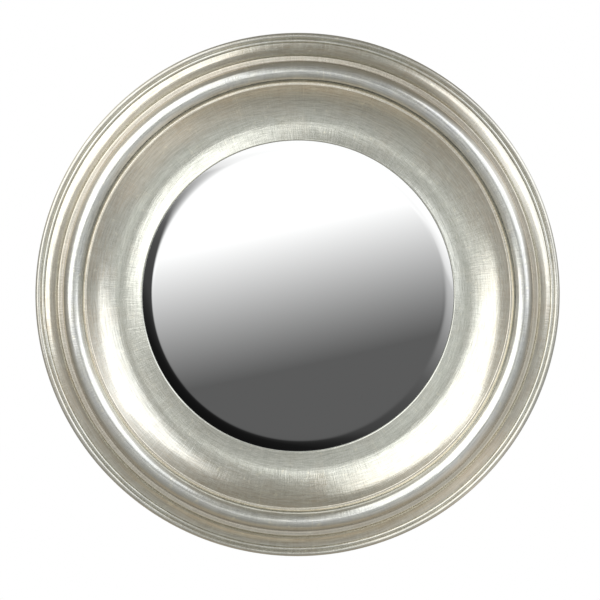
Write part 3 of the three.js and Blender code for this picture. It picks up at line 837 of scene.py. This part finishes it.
def cross_recess(name, behind, size=2.1, slot=0.55, depth=1.7):
    """A tapered cross, to be cut into the top of a screw's head."""
    arm, outline = [(slot, slot), (slot, size), (-slot, size)], []
    for _ in range(4):
        outline += arm
        arm = [(-b, a) for a, b in arm]
    levels = ((behind + 0.6, 1.08), (behind, 1.0), (behind - depth, 0.42))
    points = [(a * k * MM, level * MM, b * k * MM) for level, k in levels for a, b in outline]
    numbers = np.arange(len(points)).reshape(len(levels), -1)
    faces = lattice(numbers, wrap=(0, 1)) + [numbers[0, ::-1].tolist(), numbers[-1].tolist()]
    return outward(new_object(name, new_mesh(name, points, faces=faces)))


def make_screw(name, outline, behind, finish):
    """A screw on the origin, its head's top face the given distance behind the back face."""
    screw = turned(name, outline, finish, 1.0, turns=28)
    return cut(screw, cross_recess(name + "_recess", behind))


def countersunk_screw():
    outline = [(0, 0), (3.75, 0), (4.0, 0.25), (2.0, 2.2), (2.0, 22.0), (0.5, 25.0), (0, 25.0)]
    return make_screw("countersunk", outline, 0.0, BLACK_STEEL)


def pan_screw(name, head, rise=2.0):
    """A round-headed screw, the underside of its head the given distance behind the back face."""
    crown = arc((1.9, -head - 0.35), 1.65, -90, 0, 7)
    outline = [(0, -head - rise), *[(r + 0.05, max(h, -head - rise)) for r, h in crown],
               (3.6, -head), (1.75, -head), (1.75, 7.5), (0.5, 10.5), (0, 10.5)]
    return make_screw(name, without_repeats(outline), head + rise, ZINC)


def drills(name, places, radius, depth, sink=0.0):
    """A cutter for screw holes at the places, with a countersink if sink is more than nothing."""
    outline = [(0, -8.0), (radius + sink, -8.0), (radius + sink, 0.0), (radius, sink + 1e-3),
               (radius, depth), (0, depth)]
    bit = turned(name + "_bit", without_repeats(outline), None, 1.0, turns=24)
    made = repeated(name, bit, places, None, turn=0.0)
    discard(bit)
    return made


RING_SCREW_PLACES = around(8, 275.0, 22.5)
BUTTON_SCREW_PLACES = around(6, BUTTON_CIRCLE, 0.0)
HANGER_SCREW_PLACES = [(side * HINGE[0], 0.0, HINGE[2] - drop)
                       for side in (-1, 1) for drop in (29.5, 41.5)]
BUMPER_PLACES = around(4, 280.0, 45.0)


def make_back_ring():
    outline = softened(BACK_RING_SECTION, 0.5, 4.0, closed=True)
    convex = sharp_corners(BACK_RING_SECTION, closed=True)[0]
    ring = turned("painted_back_ring", outline, BLACK_BOARD, 250, closed=True,
                  arris=nearness(outline, convex, 1.2))
    cut(ring, drills("ring_holes", RING_SCREW_PLACES, 2.3, 14.0, sink=2.0),
        drills("fixing_holes", BUTTON_SCREW_PLACES + HANGER_SCREW_PLACES, SCREW_HOLE, 10.8))
    carried(ring, "mirror", "black_board", "back_ring")


def make_screws():
    """Each kind of screw drawn once, and put at its places."""
    hangers = [f"{side}_{i}" for side in ("left", "right") for i in (1, 2)]
    for node, screw, places, finish, slot, seed, ends in (
            ("back_ring_screw", countersunk_screw(), RING_SCREW_PLACES, BLACK_STEEL,
             "black_steel", 3, range(1, 9)),
            ("turn_button_screw", pan_screw("pan", 1.4), BUTTON_SCREW_PLACES, ZINC,
             "zinc_steel", 5, range(1, 7)),
            ("hanger_screw", pan_screw("pan_2", 2.5), HANGER_SCREW_PLACES, ZINC,
             "zinc_steel", 8, hangers)):
        screws = repeated(node + "s", screw, places, finish, seed=seed)
        carried(screws, "mirror", slot, *[f"{node}_{end}" for end in ends])
        discard(screw)


def make_bumpers():
    outline = [(0, -7.0), *arc((7.2, -5.9), 1.1, -90, -12, 6), (9.5, -1.2), (9.5, 0), (0, 0)]
    foot = turned("foot", outline, RUBBER, 4.0, turns=48)
    feet = repeated("rubber_bumpers", foot, BUMPER_PLACES, RUBBER, turn=0.0)
    discard(foot)
    carried(feet, "mirror", "rubber", *[f"wall_bumper_{i}" for i in range(1, 5)])


# ---------------- turn buttons and hangers

def button_outline(steps=20):
    """The tapered outline about the screw at the origin, its tip towards -x, from one side on."""
    side = 90 + math.degrees(math.asin((BUTTON_HEEL - BUTTON_TIP) / BUTTON_LENGTH))
    return (arc((0, 0), BUTTON_HEEL, -side, side, steps)
            + arc((-BUTTON_LENGTH, 0), BUTTON_TIP, side, 360 - side, steps))


def make_button(number):
    """One turn button, pressed from sheet steel with its edges rolled over a little."""
    outline = button_outline()
    angles = [math.atan2(z, x) for x, z in outline]
    hole = [(SCREW_HOLE * math.cos(a), SCREW_HOLE * math.sin(a)) for a in angles]
    turn = math.radians(60 * (number - 1))
    front, back = BUTTON_BACK, BUTTON_BACK + STEEL
    points = [((x + BUTTON_CIRCLE) * math.cos(turn) - z * math.sin(turn), y,
               (x + BUTTON_CIRCLE) * math.sin(turn) + z * math.cos(turn))
              for loop, y in ((outline, front), (hole, front), (hole, back), (outline, back))
              for x, z in loop]
    faces = lattice(np.arange(len(points)).reshape(4, -1), wrap=(1, 1))
    name = f"pressed_button_{number}"
    button = outward(new_object(name, new_mesh(name, np.array(points) * MM, faces=faces)))
    rolled = button.modifiers.new("rolled", "BEVEL")
    rolled.width, rolled.segments, rolled.angle_limit = 0.28 * MM, 3, math.radians(60)
    plain_mesh(button)
    smoothed(button, 40)
    button.data.materials.append(ZINC)
    carried(button, f"button_{number}", "zinc_steel", f"turn_button_{number}")


def strap_path():
    """The middle of the steel in (z, y) about the hinge: up the back, round the eye, and down."""
    layer, bent = STEEL + 0.05 - STRAP_EYE, STRAP_EYE + STRAP_BEND
    leave = 180 - math.degrees(math.asin((layer + STRAP_BEND) / bent))
    centre = [bent * f(math.radians(leave)) for f in (math.cos, math.sin)]
    up = [(z, -STRAP_EYE) for z in np.linspace(-STRAP_LENGTH, 0, 36)]
    down = [(z, layer) for z in np.linspace(centre[0], -STRAP_TAIL, 34)]
    return without_repeats(up + arc((0, 0), STRAP_EYE, -90, leave, 28)
                           + arc(centre, STRAP_BEND, leave - 180, -90, 8) + down)


def strap_half_width(z):
    """Straight sides, and a round lower end."""
    below = max(0, STRAP_HALF_WIDTH - STRAP_LENGTH - z)
    return math.sqrt(max(STRAP_HALF_WIDTH**2 - below**2, 0.4))


def make_strap(side):
    """One hanger, folded from strip: rings of points round the steel all along its path."""
    path = strap_path()
    across = [(t, 1) for t in np.linspace(-1, 1, 9)]
    across += [(t, -1) for t, _ in across[::-1]]
    points = []
    for i, (z, y) in enumerate(path):
        before, after = path[max(i - 1, 0)], path[min(i + 1, len(path) - 1)]
        dz, dy = after[0] - before[0], after[1] - before[1]
        half = STEEL / 2 / math.hypot(dz, dy)
        points += [(t * strap_half_width(z), y - dz * half * face, z + dy * half * face)
                   for t, face in across]
    grid = np.arange(len(points)).reshape(len(path), -1)
    ends = [np.stack([row[:9], row[:8:-1]]) for row in (grid[0, ::-1], grid[-1])]
    faces = lattice(grid, wrap=(0, 1)) + lattice(ends[0]) + lattice(ends[1])
    sign = -1 if side == "left" else 1
    hinge = np.array([sign * HINGE[0], HINGE[1], HINGE[2]])
    name = f"folded_strap_{side}"
    strap = outward(new_object(name, new_mesh(name, (np.array(points) + hinge) * MM, faces=faces)))
    places = [p for p in HANGER_SCREW_PLACES if p[0] * sign > 0]
    cut(strap, drills(name + "_holes", places, SCREW_HOLE, 4.0))
    smoothed(strap, 40)
    strap.data.materials.clear()
    strap.data.materials.append(ZINC)
    carried(strap, "mirror", "zinc_steel", f"hanger_strap_{side}")


def ring_line():
    """The D-ring's centre line about its hinge, in (x, z): bar, arms and a half-round bow."""
    inset = RING_HALF_WIDTH - RING_CORNER
    return without_repeats(arc((-inset, -RING_CORNER), RING_CORNER, 180, 90, 8)
                           + arc((inset, -RING_CORNER), RING_CORNER, 90, 0, 8)
                           + arc((0, -RING_ARM), RING_HALF_WIDTH, 0, -180, 40))


def make_ring(side):
    """One D-ring, hanging from the eye of its strap with its bow against the steel."""
    sign = -1 if side == "left" else 1
    lean = math.asin((2 * STEEL + 0.5 + RING_WIRE - HINGE[1]) / (RING_ARM + RING_HALF_WIDTH))
    points = [(sign * HINGE[0] + x, HINGE[1] - z * math.sin(lean), HINGE[2] + z * math.cos(lean))
              for x, z in ring_line()]
    line = new_object("ring_line", new_mesh("ring_line", np.array(points) * MM,
                                            edges=chain(len(points), closed=True)))
    ring = grown(f"wire_ring_{side}", WIRE, Line=line, Radius=RING_WIRE * MM, Material=ZINC)
    discard(line)
    carried(ring, f"ring_{side}", "zinc_steel", f"hanger_ring_{side}")


# ---------------- camera, lamps and studio

def aimed(name, data, place, aim):
    """A camera or lamp at a place, turned towards another."""
    made = new_object(name, data)
    made.location, made.rotation_mode = place, "QUATERNION"
    made.rotation_quaternion = (Vector(aim) - Vector(place)).to_track_quat("-Z", "Y")
    return made


def make_camera():
    """Level with the photograph: 4 degrees above the mirror and a little to its left."""
    azimuth, elevation, distance = math.radians(-1.7), math.radians(4.0), 2.2
    target = Vector((0, -22.5 * MM, 0))
    back = Vector((math.sin(azimuth) * math.cos(elevation),
                   -math.cos(azimuth) * math.cos(elevation), math.sin(elevation)))
    right = Vector((math.cos(azimuth), math.sin(azimuth), 0))
    aim = target + right * 0.0016 - right.cross(-back) * 0.0034
    data = bpy.data.cameras.new("camera")
    data.sensor_width, data.lens = 36.0, 113.5
    data.clip_start, data.clip_end = 0.05, 60.0
    bpy.context.scene.camera = aimed("camera", data, target + back * distance, aim)


def bearings():
    """A ray's direction as degrees across and above the mirror's axis."""
    g = Group("bearings", sockets("Direction"), sockets("Bearing"))
    split = g.node("SeparateXYZ", {0: g.inputs["Direction"]}).outputs
    angle = g.math("DEGREES", g.math("ARCCOSINE", g.math("MULTIPLY", split["Y"], -1.0)))
    unit = g.vector("NORMALIZE", g.first("CombineXYZ", {"X": split["X"], "Y": split["Z"]}))
    return g.give(Bearing=g.vector("SCALE", unit, Scale=angle))


def studio_card():
    """A soft-edged card of light in the studio, with its place and half size in degrees."""
    g = Group("studio_card", sockets("Bearing Middle Half", "Turn Soft"), sockets("", "Value"))
    offset = g.vector("SUBTRACT", g.inputs["Bearing"], g.inputs["Middle"])
    square = g.first("VectorRotate", {"Vector": offset, "Angle": g.inputs["Turn"]},
                     rotation_type="Z_AXIS", invert=True)
    over = g.vector("SUBTRACT", g.vector("ABSOLUTE", square), g.inputs["Half"])
    split = g.node("SeparateXYZ", {0: over}).outputs
    ends = [g.math("MULTIPLY", g.inputs["Soft"], half) for half in (0.5, -0.5)]
    return g.give(Value=g.math("MULTIPLY", *[g.ranged(split[axis], *ends, kind="SMOOTHSTEP")
                                             for axis in ("X", "Y")]))


STUDIO_CARDS = (
    # middle, half size (degrees), turn (radians), softness (degrees), light
    ((-31.8, 20.5), (27.0, 29.5), 0.27, 7.0, (1.26, 1.25, 1.25)),
    ((-200.0, 62.0), (150.0, 42.0), 0.17, 80.0, (0.72, 0.70, 0.66)),
    ((38.8, 15.6), (19.6, 21.0), -0.2, 6.0, (0.93, 0.93, 0.97)),
    ((86.0, 40.0), (48.0, 17.0), 0.42, 60.0, (1.14, 1.16, 1.24)),
    ((52.0, -58.0), (42.0, 8.0), -0.72, 40.0, (0.46, 0.40, 0.35)),
    ((-48.0, 5.0), (46.0, 46.0), 0.50, 60.0, (0.19, 0.19, 0.20)),
    ((60.0, -25.0), (56.0, 36.0), -0.50, 60.0, (0.14, 0.15, 0.17)),
    ((-5.0, -88.0), (66.0, 20.0), 0.0, 40.0, (0.17, 0.13, 0.08)),
    ((15.0, -12.0), (8.0, 6.0), 0.0, 20.0, (0.42, 0.43, 0.42)),
)
STUDIO_LEVEL = (0.345, 0.335, 0.305)
PLAIN_LEVEL = (0.62, 0.62, 0.62)  # for the diffuse surfaces

# What the polished glass shows. First a grey room: its tone on the axis, how that rises over a
# degree across and a degree up, its darkest tone, and how tone is made light.
ROOM_TONE, ROOM_RISE, ROOM_DARKEST = 204 / 255, (-1.473 / 255, 6.63 / 255, 0), 93 / 255
ROOM_GAMMA, ROOM_GAIN = 2.25, 1.06
# Then the dark floor and bright ceiling that its bevel catches, by how far up and to the left.
BEVEL_STEPS = ((0.12, 0.006), (0.19, 0.009), (0.235, 0.018), (0.265, 0.028), (0.305, 0.052),
               (0.35, 0.060), (0.41, 0.075), (0.48, 0.105), (0.53, 0.17), (0.575, 0.25),
               (0.62, 0.35), (0.70, 0.55), (0.725, 0.80), (0.76, 0.92), (0.80, 1.05))
BEVEL_LEAN = math.radians(57)


def glass_room(g, direction, bearing):
    """The light that the polished glass shows for a direction and its bearing."""
    rise = g.vector("DOT_PRODUCT", bearing, ROOM_RISE)
    tone = g.ranged(rise, ROOM_DARKEST - ROOM_TONE, 1 - ROOM_TONE, ROOM_DARKEST, 1.0)
    room = g.math("MULTIPLY", g.math("POWER", tone, ROOM_GAMMA), ROOM_GAIN)

    up_left = g.vector("DOT_PRODUCT", direction,
                       (math.cos(BEVEL_LEAN) / 2, 0, math.sin(BEVEL_LEAN) / 2))
    above = g.vector("DOT_PRODUCT", direction, (-0.174, 0, 0.985))
    lift = g.ranged(above, 0.3, 0.7, 0.5, 0.6)
    ramp = g.node("ValToRGB", {0: g.math("ADD", up_left, lift)})
    stops = ramp.color_ramp.elements
    stops.remove(stops[1])
    for i, (place, level) in enumerate(BEVEL_STEPS):
        stop = stops[0] if i == 0 else stops.new(place)
        stop.position, stop.color = place, (level, level, level, 1)

    # The bevel's rays leave the room's by a bearing that grows to the upper right, and those that
    # graze the glass meet the wall beside it.
    away = g.vector("LENGTH", bearing)
    side = g.vector("DOT_PRODUCT", direction, (0.707, 0, 0.707))
    reach = g.ranged(side, -0.43, -0.16, 34.0, 48.0)
    glass = g.mix(g.ranged(away, 28.0, reach, kind="SMOOTHSTEP"), room, ramp.outputs["Color"])
    height = g.node("SeparateXYZ", {0: direction}).outputs["Z"]
    wall = g.ranged(height, -0.5, 0.7, 0.12, 0.95, kind="SMOOTHSTEP")
    return g.mix(g.ranged(away, 56.0, 72.0, kind="SMOOTHSTEP"), glass, wall)


def make_world():
    """White for what looks straight at it, the studio's cards for what shines, a plain level
    for what they light."""
    world = bpy.data.worlds.new("studio")
    bpy.context.scene.world = world
    world.use_nodes = True
    g = Graph(world.node_tree)
    direction = g.node("TexCoord").outputs["Generated"]
    bearing = g.effect(bearings(), Direction=direction)["Bearing"]
    card_group, cards = studio_card(), STUDIO_LEVEL
    for middle, half, turn, soft, light in STUDIO_CARDS:
        shown = g.effect(card_group, Bearing=bearing, Middle=(*middle, 0), Half=(*half, 0),
                         Turn=turn, Soft=soft)["Value"]
        cards = g.vector("MULTIPLY_ADD", shown, light, cards)

    path = g.node("LightPath").outputs
    shining = g.mix(path["Is Singular Ray"], cards, glass_room(g, direction, bearing))
    seen = g.mix(path["Is Glossy Ray"], PLAIN_LEVEL, shining)
    straight = g.math("MAXIMUM", path["Is Camera Ray"], path["Is Transmission Ray"])
    g.tree.links.new(g.mix(straight, seen, (1, 1, 1)), g.tree.nodes["Background"].inputs["Color"])


def make_lamp(name, place, power, size):
    """A soft lamp for the diffuse surfaces; what shines reflects the studio's cards."""
    data = bpy.data.lights.new(name, "AREA")
    data.energy, data.size = power, size
    lamp = aimed(name, data, place, (0, 0, 0))
    lamp.visible_camera = lamp.visible_glossy = False


def make_floor():
    """A plain pale floor, white where the camera sees it, that keeps the mirror's shadow."""
    name = "floor"
    size, drop = 14.0, -0.95
    corners = [(-size, -size, drop), (size, -size, drop), (size, size, drop), (-size, size, drop)]
    floor = new_object(name, new_mesh(name, corners, faces=[(0, 1, 2, 3)]))
    f = Finish("pale_floor", (0.9, 0.9, 0.89), 0.9)
    mixed = f.first("MixShader", {0: f.node("LightPath").outputs["Is Camera Ray"],
                                  1: f.shader.outputs[0],
                                  2: f.first("Emission", {"Strength": 1.0})})
    f.tree.links.new(mixed, f.tree.nodes["Material Output"].inputs["Surface"])
    floor.data.materials.append(f.material)
    floor.visible_glossy = False


# Build order: trees and groups, finishes, pieces, studio.

TURNING, REPEATING, WIRE = turning_tree(), repeating_tree(), wire_tree()
RING_POSITION, STREAKS, PATCHES = ring_position(), streaks(), patches()
LEAF_SHEETS, SPECKS = leaf_sheets(), specks()

LEAF, MIRROR, BACKING_PAINT = silver_leaf(), mirror_silver(), backing_paint()
BLACK_BOARD, HARDBOARD = black_board(), hardboard()
ZINC, BLACK_STEEL, RUBBER = zinc_steel(), black_steel(), black_rubber()

make_moulding()
make_glass()
make_board()
make_back_ring()
make_screws()
make_bumpers()
for number in range(1, 7):
    make_button(number)
for side in ("left", "right"):
    make_strap(side)
    make_ring(side)
for node, finish in (("glass_cushion", felt()), ("rim_spacer", card())):
    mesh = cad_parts[node].data
    mesh.materials.clear()
    mesh.materials.append(finish)

make_camera()
make_world()
make_lamp("key", (-1.4, -1.8, 1.6), 26.0, 1.2)
make_lamp("back", (1.2, 2.0, 1.2), 22.0, 1.4)
make_floor()

bpy.context.scene.view_settings.view_transform = "Standard"
